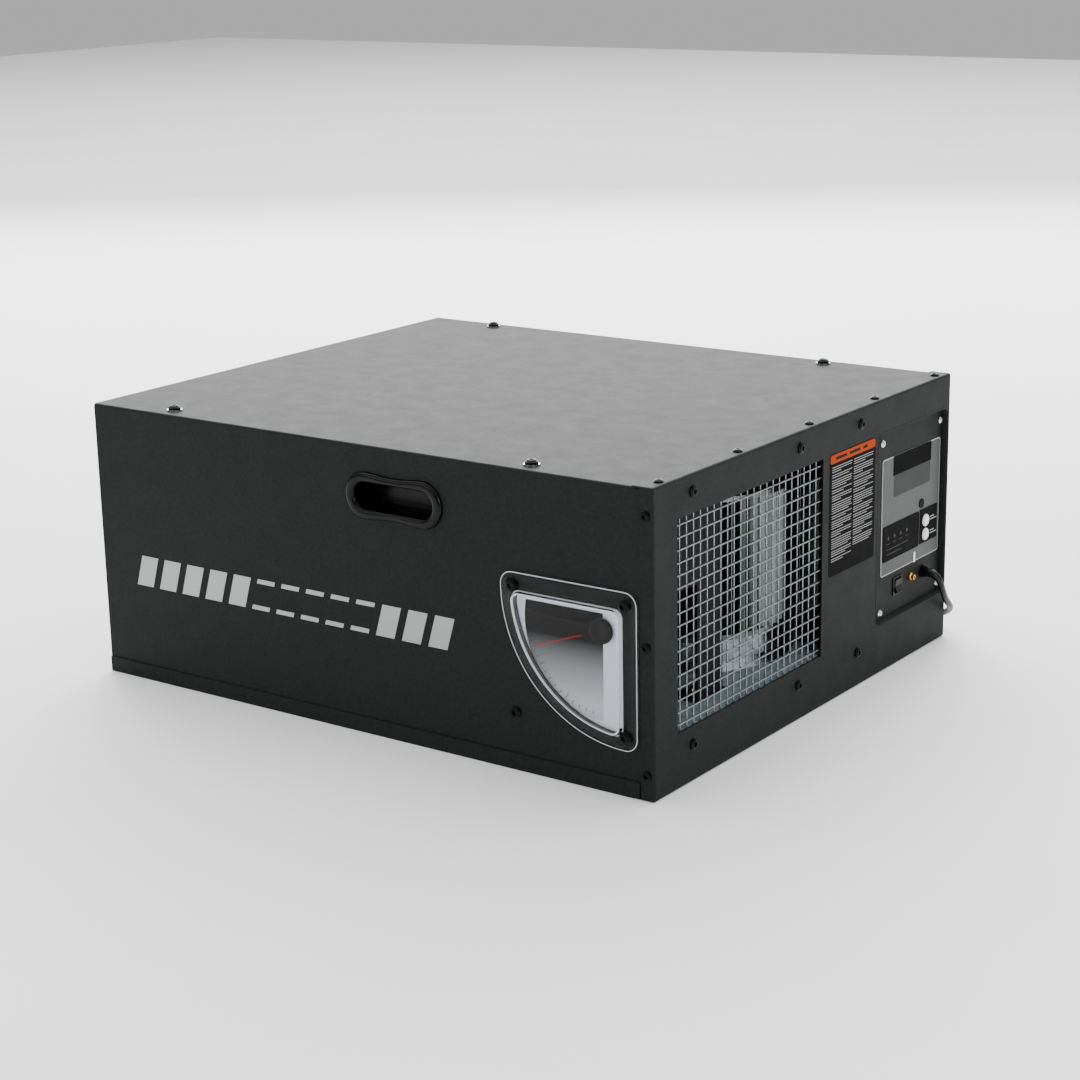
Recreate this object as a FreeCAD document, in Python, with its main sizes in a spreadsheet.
import FreeCAD, Part
import math
import os
import re
import Sketcher
from FreeCAD import Placement, Rotation, Vector

# Ceiling-hung air filtration box. +Z is up, the exhaust grille and the controls face +X, the
# filter gauge faces -Y, and the origin is the centre of the underside. Millimetres.

os.makedirs("parts", exist_ok=True)
doc = FreeCAD.newDocument("AirFilter")

# ---------------------------------------------------------------- driving sizes
SIZES = {
    # the whole box and its sheet metal
    "overall_length": 746, "overall_depth": 627, "overall_height": 316,
    "steel": 1.5, "light_steel": 1.2, "bend_round": 3, "running_gap": 0.3, "bore_play": 0.05,
    # end cover and floor pan
    "top_lip": 24, "side_lip": 15, "pan_lip": 18, "pan_setback": 1.4,
    # exhaust opening, its near edge counted from the centre plane
    "outlet_width": 285.5, "outlet_height": 217.5, "outlet_edge": 15, "outlet_base": 58.5,
    "wire_radius": 0.8, "wire_pitch": 12.7, "wire_tail": 1,
    # control recess, placed from the rear edge and the underside
    "recess_edge": 5.5, "recess_width": 168, "recess_base": 56.8, "recess_height": 219.7,
    "recess_depth": 7, "recess_lip": 8, "recess_ear_wide": 28, "recess_ear_high": 22,
    "plate_gap": 1, "recess_round": 9,
    # what sits on the control plate, from the recess's rear edge and its base
    "plate_screw_near": 7, "plate_screw_inset": 20.5, "plate_screw_low": 10.2, "plate_screw_drop": 14,
    "overlay_near": 5, "overlay_inset": 22, "overlay_low": 50.7, "overlay_drop": 34, "overlay_thick": 0.6,
    "keys_near": 11, "keys_far": 52.5, "keys_low": 68.2, "keys_high": 108.2, "keys_thick": 1,
    "display_near": 56, "display_inset": 25, "display_low": 67.2,
    "button_side": 40, "button_low": 77.7, "button_step": 16.5, "button_radius": 7.2,
    "button_length": 9, "button_stand": 2, "post_radius": 2, "post_length": 4.4,
    "eye_side": 50, "eye_high": 116.2, "eye_radius": 5.5,
    "switch_side": 105, "switch_high": 32.7, "switch_wide": 22, "switch_tall": 21, "switch_depth": 20,
    "rocker_wide": 15, "rocker_reach": 9,
    "stud_side": 74.4, "stud_high": 35.2, "stud_radius": 5.2, "stud_length": 7,
    "gland_side": 42.5, "gland_high": 33.2, "gland_radius": 7.8, "gland_length": 8,
    "gland_bore": 5.75, "gland_tail": 4, "cord_radius": 3.75,
    # behind the control plate
    "box_depth": 60, "board_thick": 1.6, "board_set": 13, "board_near": 22, "board_inset": 36,
    "board_low": 64, "board_high": 184, "standoff_radius": 3, "standoff_edge": 6, "standoff_low": 48,
    "relay_side": 96, "relay_wide": 28, "relay_low": 140, "relay_high": 20, "relay_deep": 11,
    "core_side": 50, "core_wide": 36, "core_low": 130, "core_deep": 24,
    "capacitor_radius": 20, "capacitor_length": 70,
    # warning label
    "label_gap": 14, "label_rear_gap": 9, "label_base": 142, "label_high": 135, "label_thick": 0.3,
    # carrying handles
    "handle_from_end": 315, "handle_drop": 54.5,
    "handle_lobe": 25, "handle_lobe_apart": 76, "handle_waist": 45,
    "handle_grip": 14.25, "handle_grip_apart": 73.5, "handle_rim": 4.5, "handle_cup": 34, "handle_wall": 2.5,
    # filter gauge: the corner screw's place, from the exhaust end and the underside
    "gauge_from_end": 32, "gauge_high": 196, "gauge_screws": 134, "gauge_margin": 14,
    "lens_flange": 3, "lens_dome": 8, "lens_wall": 2, "lens_round": 9, "lens_inset": 3, "lens_top": 5,
    "dial_thick": 1, "tray_thick": 2, "tray_depth": 22, "tray_rim": 8,
    "pivot_inset": 28, "pivot_drop": 30, "needle_play": 3, "needle_tilt": 3.6, "needle_root": 7,
    "needle_tip": 1.2,
    "needle_thick": 1.2, "needle_hub": 13, "needle_hub_thick": 3, "gauge_shaft": 2, "bush_radius": 4,
    "bush_length": 15, "bush_flange": 3, "bush_flange_thick": 2,
    "vane_reach": 17, "vane_high": 16, "vane_thick": 3, "vane_set": 1.5,
    # blower
    "blower_from_end": 151.5, "blower_y": -11.5, "wheel_radius": 112, "blade_depth": 20, "blade_thick": 0.8,
    "blade_count": 44, "wheel_base": 92, "wheel_high": 155, "ring_high": 5, "ring_wide": 6,
    "wheel_gap": 3.5, "disc_thick": 1.5, "hub_radius": 16, "hub_length": 14, "shaft_radius": 6.35,
    "inlet_radius": 92, "throat_radius": 104, "flare": 12,
    "tongue_angle": 30, "tongue_gap": 9, "scroll_edge": 6,
    "motor_radius": 58, "motor_length": 96, "motor_top_gap": 30, "motor_cap": 35, "motor_cap_high": 5,
    "motor_shoulder": 14, "band_high": 20, "band_drop": 16, "arm_wide": 20,
    "arm_thick": 3, "arm_reach": 132, "arm_bolt": 124, "spigot": 24,
    "angle_leg": 30, "angle_start": 8, "angle_gap": 28, "angle_bolt": 9,
    "baffle_back": 28, "baffle_edge": 151, "baffle_strap": 49, "baffle_high": 126.5, "baffle_foot": 32,
    "baffle_bolt_back": 22, "baffle_bolt_in": 3, "baffle_bolt_out": 25, "baffle_tab": 8,
    "foot_from_blower": 126.5, "foot_flange": 20, "foot_wide": 100, "foot_front": 170,
    "foot_rear": 130,
    # filters at the intake end
    "filter_inset": 6, "prefilter_thick": 25, "filter_gap": 0.5, "frame_thick": 20, "rail_high": 10.2,
    "filter_side_gap": 13, "frame_wide": 22, "rail_flange": 20,
    "pocket_count": 8, "pocket_clear": 307.6, "pocket_mouth": 52, "pocket_tip": 10, "pocket_taper": 10,
    "media_set": 4, "header_thick": 2,
    "spring_thick": 0.8, "spring_length": 40, "spring_high": 16, "spring_up": 75,
    # fasteners: radius of the head, its height, radius of the shank, its length
    "cover_head": 5, "cover_head_high": 2.8, "cover_shank": 2.4, "cover_grip": 7,
    "end_head": 5.8, "end_head_high": 3.2, "plate_head": 4.3, "plate_head_high": 2.6, "plate_shank": 1.9,
    "gauge_head": 6.5, "gauge_head_high": 3.4, "gauge_shank": 2.4, "gauge_grip": 10,
    "hang_head": 7, "hang_head_high": 4.4, "hang_shank": 4, "hang_grip": 14, "hang_washer": 8.5,
    "washer_thick": 1.6, "hang_nut": 7.5, "hang_nut_high": 8, "hole_play": 0.3, "socket_share": 0.5,
    "hang_from_intake": 107, "hang_from_end": 155, "hang_edge": 21.5,
    "top_screw_step": 144.5, "top_screw_in": 9, "side_screw_in": 8, "side_screw_step": 130.5,
    "side_screw_mid": 157.5, "end_screw_low": 39.7, "end_screw_high": 298,
    "end_screw_far": 27.5, "end_screw_mid": 49, "end_screw_gap": 43,
    # power cord coil
    "coil_from_end": 183, "coil_behind": 58.5, "coil_radius": 41, "coil_lift": 0.8, "coil_rows": 3,
    "coil_columns": 2, "coil_stub": 30, "tie_wide": 12, "tie_slack": 1,
    # mains plug
    "plug_length": 36, "plug_wide": 26, "plug_high": 20,
    "plug_relief": 22, "relief_tip": 0.8, "relief_root": 4,
    "prong_reach": 17, "prong_apart": 12.7, "prong_thick": 1.5, "prong_high": 6.4,
    "earth_radius": 2.4, "earth_reach": 20, "earth_drop": 6.5,
}
# Places and sizes worked out from the driving ones.
PLACES = {
    "half_length": "overall_length / 2",
    "half_depth": "overall_depth / 2",
    "side_out": "half_depth - steel",
    "side_in": "half_depth - 2 * steel",
    "top_out": "overall_height - steel",
    "top_in": "overall_height - 2 * steel",
    "end_in": "half_length - steel",
    "intake": "pan_setback - half_length",
    "outlet_far": "outlet_edge - outlet_width",
    "outlet_top": "outlet_base + outlet_height",
    "wire_plane": "end_in - 4 * wire_radius - running_gap / 2",
    "recess_side": "half_depth - recess_edge",
    "recess_far": "recess_side - recess_width",
    "recess_top": "recess_base + recess_height",
    "plate_face": "half_length - recess_depth",
    "plate_screw_far": "recess_width - plate_screw_inset",
    "plate_screw_high": "recess_height - plate_screw_drop",
    "overlay_far": "recess_width - overlay_inset",
    "overlay_high": "recess_height - overlay_drop",
    "display_far": "recess_width - display_inset",
    "board_far": "recess_width - board_inset",
    "label_edge": "outlet_edge + label_gap",
    "label_wide": "recess_far - label_rear_gap - label_edge",
    "angle_end": "recess_far - angle_gap",
    "end_screw_a": "outlet_far + end_screw_far",
    "end_screw_b": "outlet_edge - end_screw_mid",
    "end_screw_c": "recess_far - end_screw_gap",
    "plate_back": "plate_face - light_steel",
    "recess_back": "plate_back - steel",
    "overlay_face": "plate_face + overlay_thick",
    "keys_face": "overlay_face + keys_thick",
    "board_face": "plate_back - board_set",
    "box_back": "recess_back - box_depth",
    "handle_x": "half_length - handle_from_end",
    "handle_z": "overall_height - handle_drop",
    "hang_x_low": "hang_from_intake - half_length",
    "hang_x_high": "half_length - hang_from_end",
    "gauge_x": "half_length - gauge_from_end",
    "pivot_x": "gauge_x - pivot_inset",
    "pivot_z": "gauge_high - pivot_drop",
    "needle_length": "gauge_screws - lens_wall - needle_play - sqrt(pivot_inset ^ 2 + pivot_drop ^ 2)",
    "dial_face": "side_in",
    "tray_face": "dial_face - dial_thick",
    "tray_floor": "tray_face - tray_thick - tray_depth",
    "floor_plate": "outlet_base - light_steel",
    "top_plate": "outlet_top + light_steel",
    "blower_x": "half_length - blower_from_end",
    "foot_x": "blower_x - foot_from_blower",
    "wheel_top": "wheel_base + wheel_high",
    "wheel_middle": "wheel_base + wheel_high / 2",
    "blade_inner": "wheel_radius - blade_depth",
    "scroll_reach": "blower_y - outlet_far",
    "tongue_tip": "blower_y + (wheel_radius + tongue_gap) * sin(tongue_angle)",
    "motor_top": "top_in - motor_top_gap",
    "motor_base": "motor_top - motor_length",
    "prefilter_front": "intake + filter_inset",
    "prefilter_back": "prefilter_front + prefilter_thick",
    "filter_front": "prefilter_back + filter_gap",
    "filter_back": "filter_front + frame_thick",
    "rail_back": "filter_back + running_gap",
    "header_face": "filter_front + media_set",
    "pocket_length": "blower_x - pocket_clear - header_face",
    "filter_side": "side_in - filter_side_gap",
    "filter_base": "steel + rail_high + steel + running_gap",
    "filter_top": "top_in - rail_high - steel - running_gap",
    "coil_x": "half_length - coil_from_end",
    "coil_y": "half_depth + coil_behind",
    "coil_base": "coil_lift",
    "coil_out": "coil_radius + coil_columns * cord_radius",
    "coil_in": "coil_radius - coil_columns * cord_radius",
    "coil_high": "coil_rows * 2 * cord_radius",
    "coil_turn": "coil_radius + cord_radius",
}


def write_sheet(name, cells):
    """A spreadsheet with one alias per row."""
    page = doc.addObject("Spreadsheet::Sheet", name)
    for row, (alias, text) in enumerate(cells.items(), 1):
        page.set(f"A{row}", alias)
        page.set(f"B{row}", str(text))
        page.setAlias(f"B{row}", alias)
    doc.recompute()
    return page


def formula(text):
    """The text with each named size written the way an expression reads it."""

    def full(word):
        if word.group() in SIZES:
            return "Sizes." + word.group()
        if word.group() in PLACES:
            return "Places." + word.group()
        return word.group()

    return re.sub(r"[a-z][a-z_0-9]*", full, str(text))


sizes_sheet = write_sheet("Sizes", SIZES)
places_sheet = write_sheet("Places", {name: "=" + formula(text) for name, text in PLACES.items()})


def number(name):
    """A named size or place as a number, for shapes made in code."""
    page = sizes_sheet if name in SIZES else places_sheet
    return float(page.get(name))


# ---------------------------------------------------------------- building blocks
nodes = {}
FACING = {
    "+z": Rotation(),
    "-z": Rotation(Vector(1, 0, 0), 180),
    "+x": Rotation(Vector(0, 1, 0), 90),
    "-x": Rotation(Vector(0, 1, 0), -90),
    "+y": Rotation(Vector(1, 0, 0), -90),
    "-y": Rotation(Vector(1, 0, 0), 90),
}


def bind(item, **formulas):
    for name, text in formulas.items():
        item.setExpression(name, formula(text))


def put(item, at, turn=Rotation()):
    """Places an object at a point given as three formulas."""
    item.Placement = Placement(Vector(), turn)
    for letter, text in zip("xyz", at):
        item.setExpression("Placement.Base." + letter, formula(text))
    return item


def node(name, item):
    """Makes an object one of the exported sub-parts."""
    item.Label = name
    nodes[name] = item
    return item


def box(name, x, y, z):
    item = doc.addObject("Part::Box", name)
    bind(item, Length=f"({x[1]}) - ({x[0]})", Width=f"({y[1]}) - ({y[0]})", Height=f"({z[1]}) - ({z[0]})")
    return put(item, (x[0], y[0], z[0]))


def rod(name, radius, height, at, facing="+z"):
    item = doc.addObject("Part::Cylinder", name)
    bind(item, Radius=radius, Height=height)
    return put(item, at, FACING[facing])


def fuse(name, items):
    item = doc.addObject("Part::MultiFuse", name)
    item.Shapes = items
    item.Refine = True
    return item


def common(name, items):
    item = doc.addObject("Part::MultiCommon", name)
    item.Shapes = items
    return item


def group(name, items):
    item = doc.addObject("Part::Compound", name)
    item.Links = items
    return item


def cut(name, base, *tools):
    item = doc.addObject("Part::Cut", name)
    item.Base = base
    item.Tool = tools[0] if len(tools) == 1 else fuse(name + "_tools", list(tools))
    item.Refine = True
    return item


def rounded(name, source, radius, wanted):
    """The source with a fillet on each edge that wanted picks."""
    doc.recompute()
    item = doc.addObject("Part::Fillet", name)
    item.Base = source
    picked = [i for i, edge in enumerate(source.Shape.Edges, 1) if wanted(edge)]
    item.Edges = [(i, number(radius), number(radius)) for i in picked]
    return item


def along(edge, letter):
    """Whether an edge is a straight line along one axis."""
    if edge.Curve.TypeId != "Part::GeomLine":
        return False
    return abs(abs(getattr(edge.Curve.Direction, letter)) - 1) < 1e-6


def copies(name, master, places, facing="+z"):
    """One copy of a master at each place, together in one group."""
    made = []
    for count, at in enumerate(places, 1):
        one = group(f"{name}_{count}", [master])
        made.append(put(one, at, FACING[facing]))
    return group(name, made)


def ring_of(name, master, count, at):
    """Copies of a master turned about the vertical line through a place."""
    made = []
    for step in range(count):
        one = group(f"{name}_{step}", [master])
        made.append(put(one, at, Rotation(Vector(0, 0, 1), 360 * step / count)))
    return group(name, made)


def sketch_on(body, role, outline, name):
    """A sketch of straight sides through points given as pairs of formulas."""
    plane = [item for item in body.Origin.OriginFeatures if item.Role == role][0]
    sketch = body.newObject("Sketcher::SketchObject", name)
    sketch.AttachmentSupport = [(plane, "")]
    sketch.MapMode = "FlatFace"
    total = len(outline)
    turns = [math.tau * k / total for k in range(total)]
    start = [9 * Vector(math.cos(turn), math.sin(turn), 0) for turn in turns]
    for k in range(total):
        sketch.addGeometry(Part.LineSegment(start[k], start[(k + 1) % total]), False)
    for k in range(total):
        sketch.addConstraint(Sketcher.Constraint("Coincident", k, 2, (k + 1) % total, 1))
    for k, (across, up) in enumerate(outline):
        for kind, text in (("DistanceX", across), ("DistanceY", up)):
            offset = start[k].x if kind == "DistanceX" else start[k].y
            index = sketch.addConstraint(Sketcher.Constraint(kind, -1, 1, k, 1, offset))
            sketch.setExpression(f"Constraints[{index}]", formula(text))
    return sketch


def turned(name, outline, at, facing="+z"):
    """A body turned about its own upright axis from a half outline of radius and height."""
    body = doc.addObject("PartDesign::Body", name)
    sketch = sketch_on(body, "XZ_Plane", outline, name + "_outline")
    feature = body.newObject("PartDesign::Revolution", name + "_turn")
    feature.Profile = sketch
    feature.ReferenceAxis = (sketch, ["V_Axis"])
    feature.Angle = 360
    body.Tip = feature
    return put(body, at, FACING[facing])


def pushed(name, outline, length, at, turn=Rotation()):
    """A body pushed up from an outline in its own flat plane."""
    body = doc.addObject("PartDesign::Body", name)
    sketch = sketch_on(body, "XY_Plane", outline, name + "_outline")
    feature = body.newObject("PartDesign::Pad", name + "_pad")
    feature.Profile = sketch
    bind(feature, Length=length)
    body.Tip = feature
    return put(body, at, turn)


def shaped(name, shape):
    """A shape made in code from the sheet's sizes."""
    item = doc.addObject("Part::Feature", name)
    item.Shape = shape
    item.Placement = Placement()
    return item


# ---------------------------------------------------------------- fasteners and their holes
def screw_master(name, head, head_high, shank, grip, sides=6):
    """A screw seated at its own origin, its head up, with a drive socket."""
    body = turned(
        name + "_blank",
        [("0", "0 - (" + grip + ")"), (shank, "0 - (" + grip + ")"), (shank, "0"), (head, "0"),
         (head, f"0.45 * {head_high}"), (f"0.62 * {head}", head_high), ("0", head_high)],
        ("0", "0", "0"),
    )
    socket = doc.addObject("Part::Prism", name + "_socket")
    socket.Polygon = sides
    bind(socket, Circumradius=f"{head} * socket_share", Height=head_high)
    put(socket, ("0", "0", f"0.4 * {head_high}"))
    return cut(name, body, socket)


def hole_master(name, shank, grip):
    return rod(name, f"{shank} + hole_play", f"{grip} + 2", ("0", "0", f"0 - ({grip}) - 1"))


cover_screw = screw_master("cover_screw", "cover_head", "cover_head_high", "cover_shank", "cover_grip")
end_screw = screw_master("end_screw", "end_head", "end_head_high", "cover_shank", "cover_grip")
plate_screw = screw_master("plate_screw", "plate_head", "plate_head_high", "plate_shank", "cover_grip", 4)
gauge_screw = screw_master("gauge_screw", "gauge_head", "gauge_head_high", "gauge_shank", "gauge_grip")
hang_screw = screw_master("hang_screw", "hang_head", "hang_head_high", "hang_shank", "hang_grip")
cover_hole = hole_master("cover_hole", "cover_shank", "cover_grip")
plate_hole = hole_master("plate_hole", "plate_shank", "cover_grip")
gauge_hole = hole_master("gauge_hole", "gauge_shank", "gauge_grip")
hang_hole = hole_master("hang_hole", "hang_shank", "hang_grip")

across = [f"{step} * top_screw_step" for step in (-2, -1, 0, 1, 2)]
top_places = [("half_length - top_screw_in", y, "overall_height") for y in across]
levels = [f"side_screw_mid + {step} * side_screw_step" for step in (-1, 0, 1)]
front_places = [("half_length - side_screw_in", "0 - half_depth", z) for z in levels]
back_places = [("half_length - side_screw_in", "half_depth", z) for z in levels]
end_places = [("half_length", y, z) for z in ("end_screw_low", "end_screw_high")
              for y in ("end_screw_a", "end_screw_b", "end_screw_c")]
plate_places = [("plate_face", f"recess_side - {y}", f"recess_base + {z}")
                for y in ("plate_screw_near", "plate_screw_far")
                for z in ("plate_screw_low", "plate_screw_high")]
lens_places = [("gauge_x", "0 - side_out - lens_flange", "gauge_high"),
               ("gauge_x - gauge_screws", "0 - side_out - lens_flange", "gauge_high"),
               ("gauge_x", "0 - side_out - lens_flange", "gauge_high - gauge_screws")]
tray_places = [("gauge_x - gauge_screws", "0 - side_out", "gauge_high - gauge_screws")]
hang_places = [(x, y, "top_out + washer_thick") for x in ("hang_x_low", "hang_x_high")
               for y in ("half_depth - hang_edge", "hang_edge - half_depth")]

cover_screws = [copies("top_screws", cover_screw, top_places, "+z"),
                copies("front_screws", cover_screw, front_places, "-y"),
                copies("back_screws", cover_screw, back_places, "+y")]
node("cover_screws", group("cover_screw_set", cover_screws))
node("end_screws", copies("end_screw_set", end_screw, end_places, "+x"))
node("plate_screws", copies("plate_screw_set", plate_screw, plate_places, "+x"))
gauge_sets = [copies("lens_screws", gauge_screw, lens_places, "-y"),
              copies("tray_screws", gauge_screw, tray_places, "-y")]
node("gauge_screws", group("gauge_screw_set", gauge_sets))
node("hanging_screws", copies("hanging_screw_set", hang_screw, hang_places, "+z"))
screw_holes = group("screw_holes", [
    copies("top_holes", cover_hole, top_places, "+z"),
    copies("front_holes", cover_hole, front_places, "-y"),
    copies("back_holes", cover_hole, back_places, "+y"),
    copies("end_holes", cover_hole, end_places, "+x"),
    copies("plate_holes", plate_hole, plate_places, "+x"),
    copies("lens_holes", gauge_hole, lens_places, "-y"),
    copies("tray_holes", gauge_hole, tray_places, "-y"),
    copies("hanging_holes", hang_hole, hang_places, "+z"),
])

washer = cut("washer", rod("washer_disc", "hang_washer", "washer_thick", ("0", "0", "0 - washer_thick")),
             rod("washer_bore", "hang_shank + bore_play", "3 * washer_thick",
                 ("0", "0", "0 - 2 * washer_thick")))
node("hanging_washers", copies("washer_set", washer, hang_places))
nut_blank = doc.addObject("Part::Prism", "nut_blank")
nut_blank.Polygon = 6
bind(nut_blank, Circumradius="hang_nut", Height="hang_nut_high")
nut_top = "0 - washer_thick - steel - hang_nut_high"
put(nut_blank, ("0", "0", nut_top))
nut_bore = rod("nut_bore", "hang_shank + bore_play", "2 * hang_nut_high", ("0", "0", nut_top + " - 1"))
nut = cut("nut", nut_blank, nut_bore)
node("hanging_nuts", copies("nut_set", nut, hang_places))


# ---------------------------------------------------------------- carrying handles
def slot(name, radius, apart, depth, start):
    """A round-ended bar across the side panel; depth runs inward from start, for the front."""
    half = f"({apart}) / 2"
    ends = [rod(f"{name}_{side}", radius, depth, (f"handle_x + {sign} * {half}", start, "handle_z"), "+y")
            for side, sign in (("left", -1), ("right", 1))]
    middle = box(name + "_middle", (f"handle_x - {half}", f"handle_x + {half}"),
                 (start, f"{start} + {depth}"), (f"handle_z - ({radius})", f"handle_z + ({radius})"))
    return fuse(name, [*ends, middle])


rim_start = "0 - side_out - handle_rim"
lobes = [rod(f"handle_lobe_{side}", "handle_lobe", "handle_rim",
             (f"handle_x + {sign} * handle_lobe_apart / 2", rim_start, "handle_z"), "+y")
         for side, sign in (("left", -1), ("right", 1))]
waist = box("handle_waist_bar", ("handle_x - handle_lobe_apart / 2", "handle_x + handle_lobe_apart / 2"),
            (rim_start, "0 - side_out"), ("handle_z - handle_waist / 2", "handle_z + handle_waist / 2"))
cup = slot("handle_cup_out", "handle_grip + handle_wall", "handle_grip_apart", "handle_cup", "0 - side_out")
grip = slot("handle_grip_room", "handle_grip", "handle_grip_apart",
            "handle_rim + handle_cup - handle_wall + 1", rim_start + " - 1")
cup_hole = slot("handle_panel_hole", "handle_grip + handle_wall + running_gap", "handle_grip_apart",
                "2 * steel + 2", "0 - side_out - 1")
front_handle = node("handle_front", cut("front_handle", fuse("handle_blank", [*lobes, waist, cup]), grip))


def behind(name, source):
    """The same thing on the rear panel."""
    item = doc.addObject("Part::Mirroring", name)
    item.Source = source
    item.Normal = Vector(0, 1, 0)
    item.Base = Vector(0, 0, 0)
    return item


node("handle_back", behind("back_handle", front_handle))
cup_hole_behind = behind("back_panel_hole", cup_hole)


# ---------------------------------------------------------------- filter gauge
def quarter(name, shrink, y):
    """The gauge's quarter-round outline about its corner screw, less a margin, with round corners."""
    disc = rod(name + "_disc", f"gauge_screws - ({shrink})", f"({y[1]}) - ({y[0]})",
               ("gauge_x", y[0], "gauge_high"), "+y")
    window = box(name + "_window", ("gauge_x - gauge_screws", f"gauge_x - lens_inset - ({shrink})"), y,
                 ("gauge_high - gauge_screws", f"gauge_high - lens_top - ({shrink})"))
    return rounded(name, common(name + "_sharp", [disc, window]), "lens_round", lambda edge: along(edge, "y"))


plate_y = ("0 - side_out - lens_flange", "0 - side_out")
core = common("lens_core", [
    rod("lens_core_disc", "gauge_screws + gauge_margin", "lens_flange",
        ("gauge_x", plate_y[0], "gauge_high"), "+y"),
    box("lens_core_box", ("gauge_x - gauge_screws - gauge_margin", "gauge_x"), plate_y,
        ("gauge_high - gauge_screws - gauge_margin", "gauge_high"))])
lens_bars = [box("lens_top_bar", ("gauge_x - gauge_screws", "gauge_x"), plate_y,
                 ("gauge_high", "gauge_high + gauge_margin")),
             box("lens_end_bar", ("gauge_x", "gauge_x + gauge_margin"), plate_y,
                 ("gauge_high - gauge_screws", "gauge_high"))]
lens_ears = [rod(f"lens_ear_{k}", "gauge_margin", "lens_flange", (x, y, z), "+y")
             for k, (x, y, z) in enumerate(lens_places)]
dome_out = quarter("lens_dome_out", "0", ("0 - side_out - lens_dome", "0 - side_out"))
dome_in = quarter("lens_dome_in", "lens_wall", ("0 - side_out - lens_dome + lens_wall", "0 - side_out + 1"))
lens_blank = fuse("lens_blank", [core, *lens_bars, *lens_ears, dome_out])
node("gauge_lens", cut("lens", lens_blank, dome_in, screw_holes))
panel_window = quarter("panel_window", "lens_wall", ("0 - side_out - 1", "0 - side_in + 0.5"))

square_x = ("gauge_x - gauge_screws - tray_rim", "gauge_x + tray_rim")
square_z = ("gauge_high - gauge_screws - tray_rim", "gauge_high + tray_rim")
inner_x = ("gauge_x - gauge_screws + tray_rim", "gauge_x - tray_rim")
inner_z = ("gauge_high - gauge_screws + tray_rim", "gauge_high - tray_rim")
pivot = ("pivot_x", "0 - side_out", "pivot_z")
card = box("dial_card", square_x, ("0 - dial_face", "0 - tray_face"), square_z)
shaft_hole = rod("dial_shaft_hole", "gauge_shaft + running_gap", "2 * dial_thick + 2",
                 ("pivot_x", "0 - dial_face - 1", "pivot_z"), "+y")
node("gauge_dial", cut("dial", card, shaft_hole, screw_holes))
tray_flange = box("tray_flange", square_x, ("0 - tray_face", "tray_thick - tray_face"), square_z)
tub = box("tray_tub", (f"{inner_x[0]} - steel", f"{inner_x[1]} + steel"), ("0 - tray_face", "0 - tray_floor"),
          (f"{inner_z[0]} - steel", f"{inner_z[1]} + steel"))
tub_room = box("tray_room", inner_x, ("0 - tray_face - 1", "0 - tray_floor - steel"), inner_z)
node("gauge_tray", cut("tray", fuse("tray_blank", [tray_flange, tub]), tub_room, screw_holes))
bush_seat = "0 - tray_floor - steel"
bush = turned("bush", [
    ("gauge_shaft + bore_play", "0"), ("bush_radius + bush_flange", "0"),
    ("bush_radius + bush_flange", "bush_flange_thick"), ("bush_radius", "bush_flange_thick"),
    ("bush_radius", "bush_length"), ("gauge_shaft + bore_play", "bush_length")],
    ("pivot_x", bush_seat, "pivot_z"), "-y")
node("gauge_bush", bush)

# The needle lies left of the pivot, tilted up a little, just in front of the card.
needle_plane = "0 - side_out - 2 * needle_thick"
blade = pushed("needle_blade",
               [("0", "0 - needle_root / 2"), ("0", "needle_root / 2"), ("needle_length", "needle_tip / 2"),
                ("needle_length", "0 - needle_tip / 2")],
               "needle_thick", ("pivot_x", needle_plane, "pivot_z"),
               Rotation(Vector(0, 1, 0), 180 + number("needle_tilt")).multiply(Rotation(Vector(1, 0, 0), 90)))
hub_start = "0 - side_out - needle_hub_thick"
needle_hub = rod("needle_boss", "needle_hub", "needle_hub_thick", ("pivot_x", hub_start, "pivot_z"), "+y")
needle_shaft = rod("needle_shaft", "gauge_shaft", "side_out + needle_hub_thick - tray_floor - steel - 1",
                   ("pivot_x", hub_start, "pivot_z"), "+y")
node("gauge_needle", fuse("needle", [blade, needle_hub, needle_shaft]))
vane_y = ("vane_set - tray_face", "vane_set + vane_thick - tray_face")
vane_plate = box("vane_plate", ("pivot_x - bush_radius", "pivot_x + vane_reach"), vane_y,
                 ("pivot_z - vane_high / 2", "pivot_z + vane_high / 2"))
vane_hole = rod("vane_hole", "gauge_shaft", "vane_thick + 2",
                ("pivot_x", vane_y[0] + " - 1", "pivot_z"), "+y")
node("gauge_counterweight", cut("vane", vane_plate, vane_hole))


# ---------------------------------------------------------------- casing, pan and end cover
def outer_corner(edge):
    return along(edge, "x") and edge.BoundBox.ZMax > number("top_out") - 1


casing_block = rounded(
    "casing_round",
    box("casing_block", ("intake", "end_in"), ("0 - side_out", "side_out"), ("steel", "top_out")),
    "bend_round", outer_corner)
casing_room = box("casing_room", ("intake - 1", "end_in + 1"), ("0 - side_in", "side_in"), ("0", "top_in"))
node("casing", cut("casing_shell", casing_block, casing_room, screw_holes, cup_hole, cup_hole_behind,
                   panel_window))

pan_side = ("intake", "half_length - side_lip - 2")
pan_floor = box("pan_floor", ("intake", "half_length - top_lip - running_gap"),
                ("0 - half_depth", "half_depth"), ("0", "steel"))
pan_walls = [box("pan_front", pan_side, ("0 - half_depth", "0 - side_out"), ("steel", "pan_lip")),
             box("pan_rear", pan_side, ("side_out", "half_depth"), ("steel", "pan_lip"))]
pan_blank = rounded("pan_round", fuse("pan_blank", [pan_floor, *pan_walls]), "steel",
                    lambda edge: along(edge, "x") and edge.BoundBox.ZMax < 0.01
                    and abs(edge.BoundBox.YMax) > number("half_depth") - 0.01)
node("bottom_pan", cut("pan", pan_blank, screw_holes))


def face_edge(edge):
    """An outer edge of the cover: around its face, or back from one of its corners."""
    return edge.BoundBox.XMin > number("half_length") - 0.01 or along(edge, "x")


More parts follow.
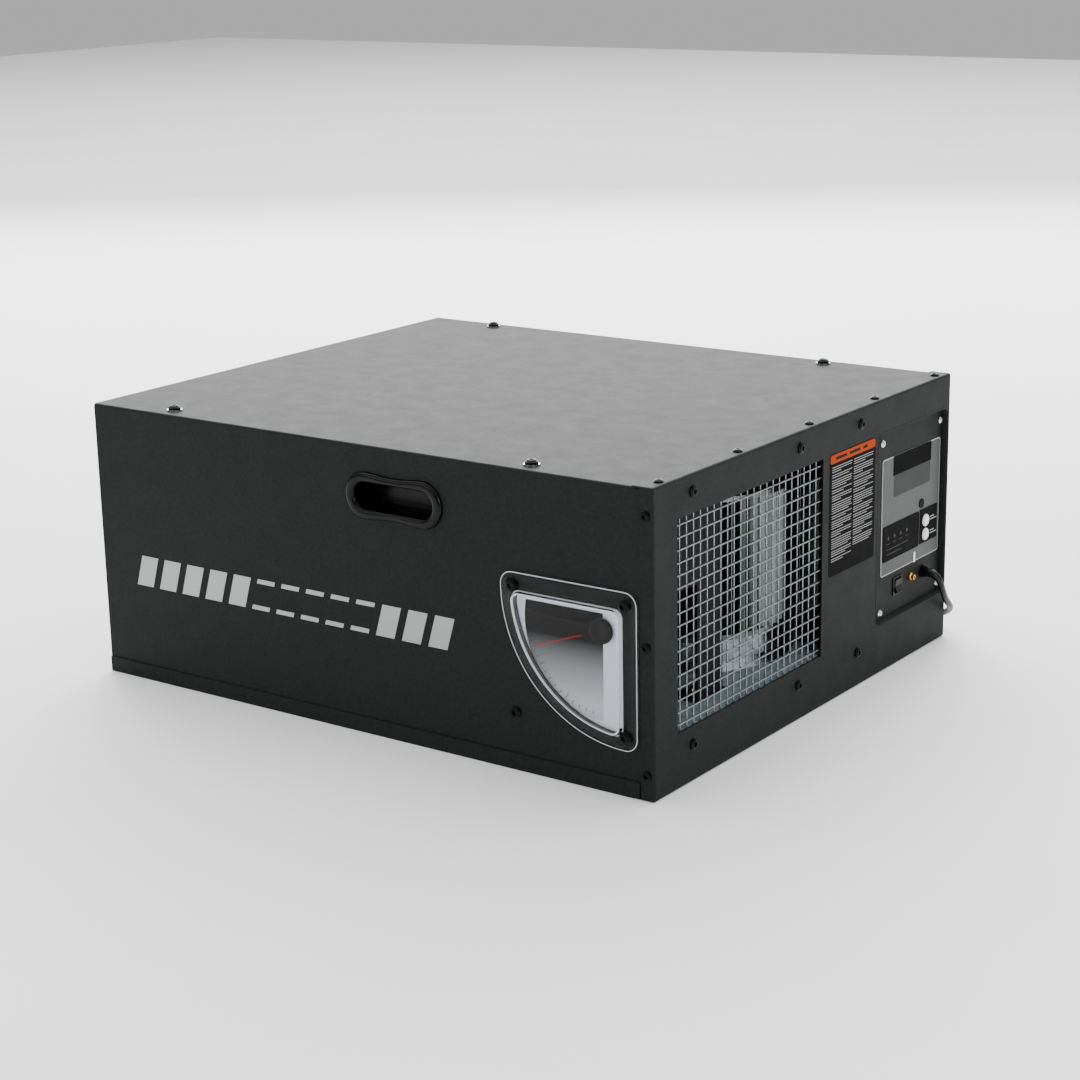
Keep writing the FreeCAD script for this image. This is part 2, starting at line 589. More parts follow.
cover_block = rounded(
    "cover_round",
    box("cover_block", ("half_length - top_lip", "half_length"), ("0 - half_depth", "half_depth"),
        ("0", "overall_height")),
    "bend_round", face_edge)
cover_room = box("cover_room", ("half_length - top_lip - 1", "end_in"), ("0 - side_out", "side_out"),
                 ("steel", "top_out"))
lip_x = ("half_length - top_lip - 1", "half_length - side_lip")
cover_trims = [box("cover_trim_front", lip_x, ("0 - half_depth - 1", "0 - side_out"), ("steel", "top_out")),
               box("cover_trim_rear", lip_x, ("side_out", "half_depth + 1"), ("steel", "top_out"))]
outlet_hole = box("outlet_hole", ("end_in - 1", "half_length + 1"), ("outlet_far", "outlet_edge"),
                  ("outlet_base", "outlet_top"))
recess_y = ("recess_far", "recess_side")
recess_z = ("recess_base", "recess_top")
recess_hole = rounded("recess_hole", box("recess_opening", ("recess_back + steel", "half_length + 1"),
                                         recess_y, recess_z),
                      "recess_round", lambda edge: along(edge, "x"))
cover_sheet = cut("cover_sheet", cover_block, cover_room, *cover_trims, outlet_hole)
recess_block = rounded("recess_block", box(
    "recess_outer", ("recess_back", "end_in"),
    ("recess_far - steel", "recess_side + steel"), ("recess_base - steel", "recess_top + steel")),
    "recess_round", lambda edge: along(edge, "x"))
floor_room = box("recess_floor_room", ("recess_back - 1", "plate_back + 1"),
                 ("recess_far + recess_lip", "recess_side - recess_lip"),
                 ("recess_base + recess_lip", "recess_top - recess_lip"))
ear_boxes = []
for side, y in (("far", ("recess_far", "recess_far + recess_ear_wide")),
                ("near", ("recess_side - recess_ear_wide / 2", "recess_side"))):
    for level, z in (("low", ("recess_base", "recess_base + recess_ear_high")),
                     ("high", ("recess_top - recess_ear_high", "recess_top"))):
        ear_boxes.append(box(f"recess_ear_{side}_{level}", ("recess_back", "plate_back"), y, z))
ears = common("recess_ears", [fuse("recess_ear_set", ear_boxes), recess_block])
recess_shell = fuse("recess_shell", [cut("recess_walls", recess_block, recess_hole, floor_room), ears])
node("exhaust_cover", cut("cover", fuse("cover_blank", [cut("cover_face", cover_sheet, recess_hole),
                                                       recess_shell]), screw_holes))

# Welded mesh behind the outlet: level wires lie against the cover, upright ones behind them.
level_count = math.floor(number("outlet_height") / number("wire_pitch"))
upright_count = math.floor(number("outlet_width") / number("wire_pitch"))
mesh_wires = []
for k in range(level_count):
    start = f"outlet_base + outlet_height / 2 + {k - (level_count - 1) / 2} * wire_pitch"
    mesh_wires.append(rod(f"level_wire_{k}", "wire_radius", "outlet_width + 2 * wire_tail",
                          ("end_in - wire_radius", "outlet_far - wire_tail", start), "+y"))
for k in range(upright_count):
    start = f"outlet_edge - outlet_width / 2 + {k - (upright_count - 1) / 2} * wire_pitch"
    mesh_wires.append(rod(f"upright_wire_{k}", "wire_radius", "outlet_height + 2 * wire_tail",
                          ("end_in - 3 * wire_radius", start, "outlet_base - wire_tail"), "+z"))
node("exhaust_grille", group("grille_wires", mesh_wires))
node("warning_label", box("label_plate", ("half_length", "half_length + label_thick"),
                          ("label_edge", "label_edge + label_wide"),
                           ("label_base", "label_base + label_high")))


# ---------------------------------------------------------------- controls
def on_plate(name, x, near, far, low, high):
    """A flat piece on the control plate, placed from the recess's rear edge and base."""
    return box(name, x, (f"recess_side - ({far})", f"recess_side - ({near})"),
               (f"recess_base + {low}", f"recess_base + {high}"))


button_rows = [f"button_low + {row} * button_step" for row in (0, 1)]
button_holes = [rod(f"button_hole_{row}", "button_radius + running_gap", "board_set + recess_depth",
                    ("board_face + 8", "recess_side - button_side", f"recess_base + {high}"), "+x")
                for row, high in enumerate(button_rows)]
switch_y = ("recess_side - switch_side - switch_wide / 2", "recess_side - switch_side + switch_wide / 2")
switch_z = ("recess_base + switch_high - switch_tall / 2", "recess_base + switch_high + switch_tall / 2")
body_y = (f"{switch_y[0]} + steel", f"{switch_y[1]} - steel")
body_z = (f"{switch_z[0]} + steel", f"{switch_z[1]} - steel")
body_y_hole = (f"{body_y[0]} - running_gap", f"{body_y[1]} + running_gap")
body_z_hole = (f"{body_z[0]} - running_gap", f"{body_z[1]} + running_gap")
switch_hole = box("switch_hole", ("plate_back - 1", "plate_face + 1"), body_y_hole, body_z_hole)
gland_place = ("recess_side - gland_side", "recess_base + gland_high")
gland_hole = rod("gland_hole", "gland_bore + running_gap", "3 * light_steel",
                 ("plate_back - light_steel", *gland_place), "+x")
control_sheet = rounded("plate_round", box(
    "plate_sheet", ("plate_back", "plate_face"), ("recess_far + plate_gap", "recess_side - plate_gap"),
    ("recess_base + plate_gap", "recess_top - plate_gap")), "recess_round", lambda edge: along(edge, "x"))
node("control_plate", cut("plate", control_sheet, *button_holes, switch_hole, gland_hole, screw_holes))
overlay_sheet = on_plate("overlay_sheet", ("plate_face", "overlay_face"), "overlay_near", "overlay_far",
                         "overlay_low", "overlay_high")
node("control_overlay", cut("overlay", overlay_sheet, *button_holes))
keypad = on_plate("keys_sheet", ("overlay_face", "keys_face"), "keys_near", "keys_far",
                  "keys_low", "keys_high")
node("key_panel", cut("keys", keypad, *button_holes))
node("display_panel", on_plate("display_sheet", ("overlay_face", "keys_face"), "display_near", "display_far",
                               "display_low", "keys_high"))
for name, high in zip(("button_lower", "button_upper"), button_rows):
    outline = [("0", "0"), ("button_radius", "0"), ("button_radius", "button_length - 1"),
               ("button_radius - 1", "button_length"), ("0", "button_length")]
    seat = ("keys_face + button_stand - button_length", "recess_side - button_side", f"recess_base + {high}")
    node(name, turned(name + "_body", outline, seat, "+x"))
node("infrared_window", rod("eye", "eye_radius", "keys_thick",
                            ("overlay_face", "recess_side - eye_side", "recess_base + eye_high"), "+x"))

bezel = box("switch_bezel", ("plate_face", "plate_face + steel"), switch_y, switch_z)
switch_block = box("switch_block", ("plate_face - switch_depth", "plate_face"), body_y, body_z)
rocker_room = box("rocker_room", ("plate_face - rocker_reach - 4", "plate_face + steel + 1"),
                  ("recess_side - switch_side - rocker_wide / 2 - running_gap",
                   "recess_side - switch_side + rocker_wide / 2 + running_gap"),
                  ("recess_base + switch_high - rocker_reach - running_gap / 2",
                   "recess_base + switch_high + rocker_reach + running_gap / 2"))
switch_shell = fuse("switch_shell", [bezel, switch_block])
rocker_place = ("plate_face - 1", "recess_side - switch_side - rocker_wide / 2", "recess_base + switch_high")
pin_radius = "steel"
pin = rod("rocker_pin_bore", pin_radius + " + bore_play", "rocker_wide + 3",
          (rocker_place[0], rocker_place[1] + " - 1.5", rocker_place[2]), "+y")
node("switch_body", cut("switch_case", switch_shell, rocker_room, pin))
rocker_sides = [("-0.5", "-0.85"), ("0.62", "-0.74"), ("0.36", "0"), ("0.45", "0.88"), ("-0.5", "0.8")]
rocker_outline = [(f"{x} * 0.94 * rocker_reach", f"{z} * 0.94 * rocker_reach") for x, z in rocker_sides]
rocker_block = pushed("rocker_block", rocker_outline, "rocker_wide",
                      (rocker_place[0], "recess_side - switch_side + rocker_wide / 2", rocker_place[2]),
                      Rotation(Vector(1, 0, 0), 90))
rocker_pin = rod("rocker_pin", pin_radius, "rocker_wide + 2",
                 (rocker_place[0], rocker_place[1] + " - 1", rocker_place[2]), "+y")
node("switch_rocker", fuse("rocker", [rocker_block, rocker_pin]))

stud = doc.addObject("Part::Prism", "brass_hex")
stud.Polygon = 6
bind(stud, Circumradius="stud_radius", Height="stud_length")
put(stud, ("plate_face", "recess_side - stud_side", "recess_base + stud_high"), FACING["+x"])
stud_bore = rod("brass_bore", "stud_radius / 2.6", "stud_length",
                ("plate_face + stud_length / 2", "recess_side - stud_side", "recess_base + stud_high"), "+x")
node("brass_fitting", cut("brass", stud, stud_bore))

gland = turned("gland", [
    ("cord_radius", "0 - light_steel - gland_tail"), ("gland_bore", "0 - light_steel - gland_tail"),
    ("gland_bore", "0"),
    ("gland_radius", "0"), ("gland_radius", "gland_length - 2.5"), ("gland_radius - 2", "gland_length"),
    ("cord_radius", "gland_length")], ("plate_face", *gland_place), "+x")
node("cord_gland", gland)

box_y = ("recess_far + recess_lip - light_steel", "recess_side - recess_lip + light_steel")
box_z = ("recess_base + recess_lip - light_steel", "recess_top - recess_lip + light_steel")
box_shell = box("wiring_box_shell", ("box_back", "recess_back"), box_y, box_z)
box_room = box("wiring_box_room", ("box_back + light_steel", "recess_back + 1"),
               (f"{box_y[0]} + light_steel", f"{box_y[1]} - light_steel"),
               (f"{box_z[0]} + light_steel", f"{box_z[1]} - light_steel"))
node("wiring_box", cut("wiring_case", box_shell, box_room, screw_holes))
board_back = "board_face - board_thick"
board = on_plate("board_sheet", (board_back, "board_face"), "board_near", "board_far",
                 "board_low", "board_high")
standoff_sides = ("board_near + standoff_edge", "board_far - standoff_edge")
standoff_levels = ("board_low + standoff_low", "board_high - standoff_edge")
standoffs = [rod(f"standoff_{k}{n}", "standoff_radius", "board_set",
                 ("board_face", f"recess_side - ({y})", f"recess_base + {z}"), "+x")
             for k, y in enumerate(standoff_sides) for n, z in enumerate(standoff_levels)]
relay = on_plate("relay", ("board_face", "board_face + relay_deep"), "relay_side", "relay_side + relay_wide",
                 "relay_low", "relay_low + relay_high")
transformer = on_plate("transformer", (board_back + " - core_deep", board_back), "core_side",
                       "core_side + core_wide", "core_low", "core_low + core_wide")
key_posts = [rod(f"key_post_{row}", "post_radius", "post_length",
                 ("board_face", "recess_side - button_side", f"recess_base + {high}"), "+x")
             for row, high in enumerate(button_rows)]
node("control_board", fuse("board", [board, *standoffs, relay, transformer, *key_posts]))
node("capacitor", rod("capacitor_can", "capacitor_radius", "capacitor_length",
                      ("box_back + light_steel + capacitor_radius + running_gap",
                       "recess_far + recess_lip + capacitor_radius + running_gap",
                       "recess_base + recess_lip + running_gap"), "+z"))


# ---------------------------------------------------------------- blower housing
def scroll_point(degrees, extra=0.0):
    """A point on the spiral wall; its radius grows evenly from the tongue round to the outlet's far wall."""
    first = number("tongue_angle")
    start = number("wheel_radius") + number("tongue_gap")
    share = (degrees - first) / (270 - first)
    radius = start + share * (number("scroll_reach") - start) + extra
    turn = math.radians(degrees)
    centre = Vector(number("blower_x"), number("blower_y"), 0)
    return centre + radius * Vector(math.cos(turn), math.sin(turn), 0)


def spiral(extra, height):
    """The spiral as one smooth curve, from the outlet's far wall back to the tongue."""
    first = number("tongue_angle")
    points = [scroll_point(270 - (270 - first) * k / 16, extra) + Vector(0, 0, height) for k in range(17)]
    curve = Part.BSplineCurve()
    curve.interpolate(points)
    return curve.toShape()


def upright(outline, low, high):
    return Part.Face(Part.Wire(outline)).extrude(Vector(0, 0, high - low))


def side(*points):
    return [Part.makeLine(a, b) for a, b in zip(points, points[1:])]


mouth = number("wire_plane") - number("running_gap")
thin = number("light_steel")
low, high = number("outlet_base"), number("outlet_top")
outer, inner = spiral(thin, low), spiral(0, low)
outer_ends = [outer.Vertexes[0].Point, outer.Vertexes[-1].Point]
inner_ends = [inner.Vertexes[0].Point, inner.Vertexes[-1].Point]
corner_out, corner_in = Vector(mouth, outer_ends[0].y, low), Vector(mouth, inner_ends[0].y, low)
wrap = upright([outer, *side(outer_ends[0], corner_out, corner_in, inner_ends[0]), inner,
                *side(inner_ends[1], outer_ends[1])], low, high)
node("scroll_wrap", shaped("scroll_wrap", wrap))

# The tongue carries on from the end of the spiral to the outlet's near edge.
edge_y = number("outlet_edge")
tongue_room = Vector(number("running_gap"), 0, 0)
tongue_out = [outer_ends[1] + tongue_room, Vector(mouth, edge_y + 2 * thin, low),
              Vector(mouth, edge_y + thin, low), inner_ends[1] + tongue_room, outer_ends[1] + tongue_room]
node("outlet_tongue", shaped("outlet_tongue", upright(side(*tongue_out), low, high)))


def plate_shape(bottom):
    """A side plate: the spiral's outline with a margin, the outlet's rectangle, and the round inlet."""
    edge = number("scroll_edge")
    curve = spiral(edge, bottom)
    first, last = curve.Vertexes[0].Point, curve.Vertexes[-1].Point
    outline = side(last, Vector(mouth, last.y, bottom), Vector(mouth, first.y, bottom), first)
    plate = upright([curve, *outline], bottom, bottom + thin)
    centre = Vector(number("blower_x"), number("blower_y"), bottom - 1)
    return plate.cut(Part.makeCylinder(number("inlet_radius"), thin + 2, centre))


arm_turns = (40, 160, 280)


def arm_points(radius):
    """Formulas for the three motor arm bolts on the top plate."""
    return [(f"blower_x + {radius} * {math.cos(math.radians(turn))}",
             f"blower_y + {radius} * {math.sin(math.radians(turn))}") for turn in arm_turns]


baffle_x = "wire_plane - baffle_back"
baffle_y = "outlet_edge - baffle_edge"
baffle_bolts = [(f"{baffle_x} - baffle_bolt_back", f"{baffle_y} - {side}")
                for side in ("baffle_bolt_out", "baffle_bolt_in")]
angle_y = ("outlet_far + angle_start", "angle_end")
angle_bolts = [("end_in - angle_leg / 2", y) for y in ("end_screw_a", "tongue_tip - angle_bolt")]
plate_bolt = screw_master("plate_bolt", "cover_head", "cover_head_high", "cover_shank", "2 * light_steel + 2")
plate_bolt_hole = hole_master("plate_bolt_hole", "cover_shank", "2 * light_steel + 2")
arm_bolt_places = [(*at, "top_plate + arm_thick") for at in arm_points("arm_bolt")]
angle_bolt_places = [(*at, "top_plate + steel") for at in angle_bolts]
baffle_bolt_places = [(*at, "outlet_base + steel") for at in baffle_bolts]
bolt_places = [*arm_bolt_places, *angle_bolt_places, *baffle_bolt_places]
node("blower_bolts", copies("bolt_set", plate_bolt, bolt_places))
bolt_holes = copies("bolt_holes", plate_bolt_hole, bolt_places)
floor_outline = shaped("floor_outline", plate_shape(number("floor_plate")))
roof_outline = shaped("roof_outline", plate_shape(number("outlet_top")))
node("blower_floor", cut("floor_sheet", floor_outline, bolt_holes))
node("blower_roof", cut("roof_sheet", roof_outline, bolt_holes))


def bell(name, height, at, facing):
    """A flared inlet ring standing on a side plate and ending just short of the wheel."""
    return turned(name, [
        ("throat_radius + flare", "0"), ("throat_radius + 2", "flare * 0.7"), ("throat_radius", height),
        ("throat_radius - light_steel", height), ("throat_radius + 2 - light_steel", "flare * 0.7 - 0.5"),
        ("throat_radius + flare - 2.5 * light_steel", "0")], at, facing)


bell_high = "wheel_base - wheel_gap - outlet_base"
node("inlet_ring_lower", bell("lower_bell", bell_high, ("blower_x", "blower_y", "outlet_base"), "+z"))
node("inlet_ring_upper", bell("upper_bell", "outlet_top - wheel_top - wheel_gap",
                              ("blower_x", "blower_y", "outlet_top"), "-z"))

angle_front = ("end_in - steel", "end_in")
angle_flat = ("end_in - angle_leg", "end_in - steel")
upper_angle = fuse("upper_angle", [
    box("upper_angle_leg", angle_front, angle_y, ("top_plate", "top_plate + angle_leg - 2")),
    box("upper_angle_flat", angle_flat, angle_y, ("top_plate", "top_plate + steel"))])
lower_angle = fuse("lower_angle", [
    box("lower_angle_leg", angle_front, angle_y, ("floor_plate - angle_leg + 2", "floor_plate")),
    box("lower_angle_flat", angle_flat, angle_y, ("floor_plate - steel", "floor_plate"))])
angle_pair = group("angle_pair", [upper_angle, lower_angle])
node("mounting_angles", cut("angles", angle_pair, screw_holes, bolt_holes))

strap_y = (f"{baffle_y} - baffle_strap", baffle_y)
baffle_plane = (baffle_x, f"{baffle_x} + steel")
baffle = fuse("baffle_blank", [
    box("baffle_plate", baffle_plane, ("outlet_far + running_gap", baffle_y),
        ("outlet_base + baffle_high", "outlet_top")),
    box("baffle_leg", baffle_plane, strap_y, ("outlet_base", "outlet_base + baffle_high")),
    box("baffle_foot_plate", (f"{baffle_x} - baffle_foot", baffle_x),
        (strap_y[0], f"{baffle_y} + baffle_tab"), ("outlet_base", "outlet_base + steel"))])
node("outlet_baffle", cut("baffle", baffle, bolt_holes))

feet = []
for name, y in (("near", ("0 - foot_front", "foot_wide - foot_front")),
                ("rear", ("foot_rear - foot_wide", "foot_rear"))):
    feet.append(fuse(f"foot_{name}", [
        box(f"foot_web_{name}", ("foot_x", "foot_x + steel"), y, ("steel", "floor_plate")),
        box(f"foot_top_{name}", ("foot_x + steel", "foot_x + foot_flange"), y,
            ("floor_plate - steel", "floor_plate")),
        box(f"foot_base_{name}", ("foot_x - foot_flange", "foot_x"), y, ("steel", "2 * steel"))]))
node("blower_feet", group("feet", feet))

# ---------------------------------------------------------------- wheel and motor
axis = ("blower_x", "blower_y")
inner_radius, outer_radius = number("blade_inner"), number("wheel_radius") - 0.5


def blade_shape():
    """One forward-curved blade, a thin curved strip standing on the lower ring."""
    thick = number("blade_thick")
    low = number("wheel_base") + number("ring_high")
    high = number("wheel_top") - number("ring_high")
    lean = [Vector(inner_radius, 0, low), Vector((inner_radius + outer_radius) / 2 + 1, 4.5, low),
            Vector(outer_radius * math.cos(0.125), outer_radius * math.sin(0.125), low)]
    back = [point + Vector(0, thick, 0) for point in lean]
    front_arc, back_arc = Part.Arc(*lean).toShape(), Part.Arc(*back).toShape()
    outline = [front_arc, Part.makeLine(lean[2], back[2]), back_arc, Part.makeLine(back[0], lean[0])]
    return upright(Part.sortEdges(outline)[0], low, high)


blade = shaped("blade", blade_shape())
node("wheel_blades", ring_of("blades", blade, int(number("blade_count")), (*axis, "0")))


def wheel_ring(name, base):
    return turned(name, [
        ("wheel_radius - ring_wide", "0"), ("wheel_radius", "0"), ("wheel_radius", "ring_high"),
        ("wheel_radius - ring_wide", "ring_high")], (*axis, base))


rings = [wheel_ring("ring_lower", "wheel_base"), wheel_ring("ring_upper", "wheel_top - ring_high")]
node("wheel_rings", group("ring_pair", rings))
node("wheel_disc", turned("disc", [
    ("shaft_radius", "0 - hub_length"), ("hub_radius", "0 - hub_length"), ("hub_radius", "0"),
    ("blade_inner - 0.2", "0"), ("blade_inner - 0.2", "disc_thick"), ("shaft_radius", "disc_thick")],
    (*axis, "wheel_middle")))
node("motor_shaft", rod("shaft", "shaft_radius", "motor_base + spigot - wheel_middle + hub_length - 2",
                        (*axis, "wheel_middle - hub_length + 2")))
node("motor", turned("motor_body", [
    ("shaft_radius + bore_play", "0"), ("motor_cap", "0"), ("motor_cap", "motor_cap_high"),
    ("motor_radius", "motor_shoulder"), ("motor_radius", "motor_length - motor_shoulder"),
    ("motor_cap", "motor_length - motor_cap_high"), ("motor_cap", "motor_length"), ("0", "motor_length"),
    ("0", "spigot + 1"),
    ("shaft_radius + bore_play", "spigot + 1")], (*axis, "motor_base")))
band = turned("motor_band", [
    ("motor_radius + running_gap / 2", "0"), ("motor_radius + arm_thick", "0"),
    ("motor_radius + arm_thick", "band_high"), ("motor_radius + running_gap / 2", "band_high")],
    (*axis, "top_plate - band_high - band_drop"))
arms = []
arm_y = ("0 - arm_wide / 2", "arm_wide / 2")
for turn in arm_turns:
    post = box(f"arm_post_{turn}", ("motor_radius + arm_thick - 1", "motor_radius + 2 * arm_thick"), arm_y,
               ("top_plate - band_high - band_drop", "top_plate + arm_thick"))
    reach = box(f"arm_reach_{turn}", ("motor_radius + arm_thick", "arm_reach"), arm_y,
                ("top_plate", "top_plate + arm_thick"))
    arm = fuse(f"arm_{turn}", [post, reach])
    arms.append(put(arm, (*axis, "0"), Rotation(Vector(0, 0, 1), turn)))
node("motor_bracket", cut("bracket", fuse("bracket_blank", [band, *arms]), bolt_holes))

# ---------------------------------------------------------------- filters at the intake end
rail_x = ("intake + 1", "rail_back + steel")
rail_y = ("0 - side_in", "side_in")


def rail(name, wall, shelf):
    """A channel that carries the filters at the floor or the roof, with a stop flange behind them."""
    shelf_in = f"{shelf} - steel" if wall == "steel" else f"{shelf} + steel"
    ends = sorted((wall, shelf), key=number_of)
    plate_ends = sorted((shelf, shelf_in), key=number_of)
    front = box(name + "_web", ("intake + 1", "intake + 1 + steel"), rail_y, ends)
    plate = box(name + "_shelf", rail_x, rail_y, plate_ends)
    stop_end = f"{shelf} + rail_flange" if wall == "steel" else f"{shelf} - rail_flange"
    stop_ends = sorted((wall, stop_end), key=number_of)
    stop = box(name + "_stop", ("rail_back", "rail_back + steel"), rail_y, stop_ends)
    return [front, plate, stop]


def number_of(text):
    """The value of a sum or difference of named sizes."""
    total, sign = 0.0, 1
    for word in text.split():
        if word in "+-":
            sign = 1 if word == "+" else -1
        else:
            total += sign * number(word)
    return total


rails = [*rail("rail_low", "steel", "filter_base - running_gap"),
         *rail("rail_high", "top_in", "filter_top + running_gap")]
stops = [box(f"side_stop_{side}", ("rail_back", "rail_back + steel"), y, ("steel", "top_in"))
         for side, y in (("front", ("0 - side_in", "0 - side_in + filter_side_gap + rail_flange")),
                         ("rear", ("side_in - filter_side_gap - rail_flange", "side_in")))]
node("filter_rails", fuse("rails", [*rails, *stops]))


def frame(name, x):
    """A rectangular filter frame with one big window."""
    solid = box(name + "_solid", x, ("0 - filter_side", "filter_side"), ("filter_base", "filter_top"))
    window = box(name + "_window", (f"{x[0]} - 1", f"{x[1]} + 1"),
                 ("0 - filter_side + frame_wide", "filter_side - frame_wide"),
                 ("filter_base + frame_wide", "filter_top - frame_wide"))
    return cut(name, solid, window)


node("prefilter_frame", frame("prefilter_border", ("prefilter_front", "prefilter_back")))
node("prefilter_media", box("prefilter_pad", ("prefilter_front + media_set", "prefilter_back - media_set"),
                            ("0 - filter_side + frame_wide", "filter_side - frame_wide"),
                            ("filter_base + frame_wide", "filter_top - frame_wide")))
node("pocket_filter_frame", frame("pocket_border", ("filter_front", "filter_back")))
pockets = []
pocket_total = int(number("pocket_count"))
pocket_high = "filter_top - filter_base - 2 * frame_wide"
for k in range(pocket_total):
    bag = doc.addObject("Part::Wedge", f"bag_{k}")
    bind(bag, Xmin="0 - pocket_mouth / 2", Xmax="pocket_mouth / 2", Ymin="0", Ymax="pocket_length",
         Zmin="0", Zmax=pocket_high, X2min="0 - pocket_tip / 2", X2max="pocket_tip / 2",
         Z2min="pocket_taper", Z2max=pocket_high + " - pocket_taper")
    step = f"(2 * filter_side - 2 * frame_wide - 2 * running_gap) / {pocket_total}"
    put(bag, ("header_face", f"{k - (pocket_total - 1) / 2} * {step}", "filter_base + frame_wide"),
        Rotation(Vector(0, 0, 1), -90))
    pockets.append(bag)
header = box("pocket_header", ("header_face - header_thick", "header_face"),
             ("0 - filter_side + frame_wide", "filter_side - frame_wide"),
             ("filter_base + frame_wide", "filter_top - frame_wide"))
node("filter_pockets", fuse("pocket_set", [header, *pockets]))


def leaf_shape():
    """A bowed spring strip on a side wall, its crown just clear of the filters."""
    length, thick = number("spring_length"), number("spring_thick")
    bow = number("filter_side_gap") - number("running_gap")
    arc = [Vector(0, 0, 0), Vector(length / 2, -bow, 0), Vector(length, 0, 0)]
    inside = [Vector(0, 0, 0) + Vector(2 * thick, 0, 0), Vector(length / 2, thick - bow, 0),
              Vector(length - 2 * thick, 0, 0)]
    edges = [Part.Arc(*arc).toShape(), Part.makeLine(arc[2], inside[2]),
             Part.Arc(*inside).toShape(), Part.makeLine(inside[0], arc[0])]
    strip = Part.Face(Part.Wire(Part.sortEdges(edges)[0])).extrude(Vector(0, 0, number("spring_high")))
    return strip


leaf = shaped("leaf", leaf_shape())
spring_start = "prefilter_front + (prefilter_thick + frame_thick - spring_length) / 2"
rear_springs = copies("rear_springs", leaf, [(spring_start, "side_in", z) for z in (
    "filter_base + spring_up", "filter_top - spring_up - spring_high")])
node("filter_springs", group("springs", [rear_springs, behind("front_springs", rear_springs)]))

# ---------------------------------------------------------------- power cord
# The route as chosen by hand: along the length from the exhaust face, across the depth from the
# rear face, and up from the underside. It bends down just past the gland, drops behind the rear
# corner and runs along the floor to the coil.
gland_end = Vector(number("plate_face") + number("gland_length"),
                   number("recess_side") - number("gland_side"), number("recess_base") + number("gland_high"))
coil_level = number("coil_base") + number("cord_radius")
stub_end = Vector(number("coil_x") + number("coil_stub"), number("coil_y") - number("coil_turn"), coil_level)
corner = Vector(number("half_length"), number("half_depth"), 0)
ROUTE = [(5.5, -48, 89.8), (10.3, -47.4, 87.3), (13.9, -45.8, 82.2), (15.3, -42.4, 75.1), (14.8, -36.9, 66.8),
         (13.4, -29, 57.9), (11.4, -18, 48.6), (9, -4.5, 40), (2.5, 9.5, 31), (-9, 22, 22), (-26, 30.5, 14),
         (-46, 34.5, 8.2), (-68, 34, 5), (-90, 28, 4.55), (-110, 19.5, 4.55), (-132, 13.75, 4.55)]
route = [gland_end, *[corner + Vector(*point) for point in ROUTE], stub_end]


def cord_path(points):
    """Straight runs joined by tangent arcs, each as large as its two runs allow."""
    edges, at, total, radii = [], points[0], 0.0, []
    for before, here, after in zip(points, points[1:], points[2:]):
        back, on = (before - here), (after - here)
        half = (math.pi - back.getAngle(on)) / 2
        reach = 0.45 * min(back.Length, on.Length)
        radii.append(reach / math.tan(half))
        back.normalize()
        on.normalize()
        start, end = here + back * reach, here + on * reach
        bend = (back + on).normalize()
        middle = here + bend * (radii[-1] / math.cos(half) - radii[-1])
        edges += [Part.LineSegment(at, start).toShape(), Part.Arc(start, middle, end).toShape()]
        at = end
    edges.append(Part.LineSegment(at, points[-1]).toShape())
    path = Part.Wire(edges)
    print("cord: length", round(path.Length, 1), "smallest bend", round(min(radii), 1))
    print("cord: bends", [round(radius) for radius in radii])
    return path


path = cord_path(route)
ring = Part.makeCircle(number("cord_radius"), route[0], route[1] - route[0])
tube = path.makePipeShell([Part.Wire([ring])], True, False, 2)
cord_section = math.pi * number("cord_radius") ** 2
print("cord: volume over section times length", round(tube.Volume / (cord_section * path.Length), 5))
node("cord_tube", shaped("cord_tube", tube))

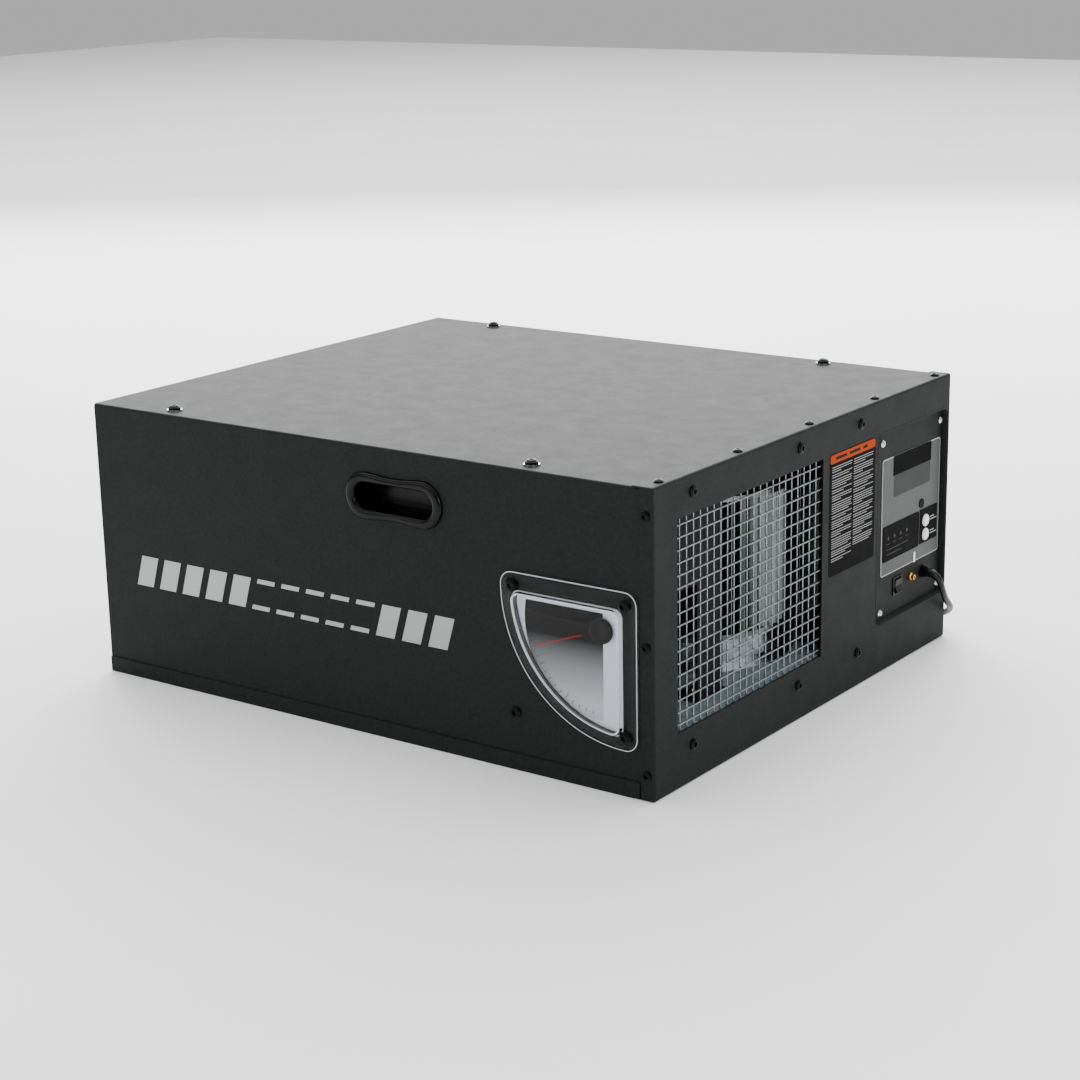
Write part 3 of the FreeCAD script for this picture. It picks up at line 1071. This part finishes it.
coil_ring = turned("coil_ring", [("coil_in", "0"), ("coil_out", "0"), ("coil_out", "coil_high"),
                                 ("coil_in", "coil_high")], ("coil_x", "coil_y", "coil_base"))
entry = rod("coil_entry", "cord_radius", "coil_stub",
            ("coil_x", "coil_y - coil_turn", "coil_base + cord_radius"), "+x")
leave = rod("coil_exit", "cord_radius", "coil_stub",
            ("coil_x", "coil_y + coil_turn", "coil_base + 3 * cord_radius"), "+x")
tie_x = ("coil_x - coil_out - coil_lift - running_gap", "coil_x - coil_in + coil_lift + tie_slack")
tie_y = ("coil_y - tie_wide / 2", "coil_y + tie_wide / 2")
tie_out = box("tie_outer", tie_x, tie_y, ("0", "coil_high + 2 * coil_lift + running_gap"))
tie_room = box("tie_inner", (f"{tie_x[0]} + coil_lift", f"{tie_x[1]} - coil_lift"),
               (f"{tie_y[0]} - 1", f"{tie_y[1]} + 1"), ("coil_lift", "coil_high + coil_lift + running_gap"))
node("cord_tie", cut("tie", tie_out, tie_room))
node("cord_coil", fuse("coil", [coil_ring, entry, leave]))

plug_start = "coil_x + coil_stub"
plug_y = "coil_y + coil_turn"
plug_z = "coil_base + 3 * cord_radius"
plug_relief = doc.addObject("Part::Cone", "plug_relief_cone")
bind(plug_relief, Radius1="cord_radius + relief_tip", Radius2="cord_radius + relief_root",
     Height="plug_relief")
put(plug_relief, (plug_start, plug_y, plug_z), FACING["+x"])
plug_x = (f"{plug_start} + plug_relief", f"{plug_start} + plug_relief + plug_length")


def around(middle, size):
    """The two ends of a size that lies evenly about a middle."""
    return f"{middle} - {size} / 2", f"{middle} + {size} / 2"


plug_block = box("plug_block", plug_x, around(plug_y, "plug_wide"), around(plug_z, "plug_high"))
plug_body = rounded("plug_body", plug_block, "bend_round", lambda edge: True)
prongs = [box(f"plug_prong_{side}", (plug_x[1], f"{plug_x[1]} + prong_reach"),
              around(f"{plug_y} {sign} prong_apart / 2", "prong_thick"), around(plug_z, "prong_high"))
          for side, sign in (("left", "-"), ("right", "+"))]
earth = rod("plug_earth", "earth_radius", "earth_reach", (plug_x[1], plug_y, f"{plug_z} - earth_drop"), "+x")
node("cord_plug", fuse("plug", [plug_relief, plug_body, *prongs, earth]))

# ---------------------------------------------------------------- check and write
doc.recompute()
broken = [item.Name for item in doc.Objects if "Invalid" in item.State or "Error" in item.State]
unsound = [name for name, item in nodes.items() if item.Shape.isNull() or not item.Shape.isValid()]
if broken or unsound:
    raise RuntimeError(f"failed objects {broken}, unsound sub-parts {unsound}")
for name, item in nodes.items():
    item.Shape.exportStep(f"parts/{name}.step")
print(len(nodes), "sub-parts,", sum(len(item.Shape.Solids) for item in nodes.values()), "solids")
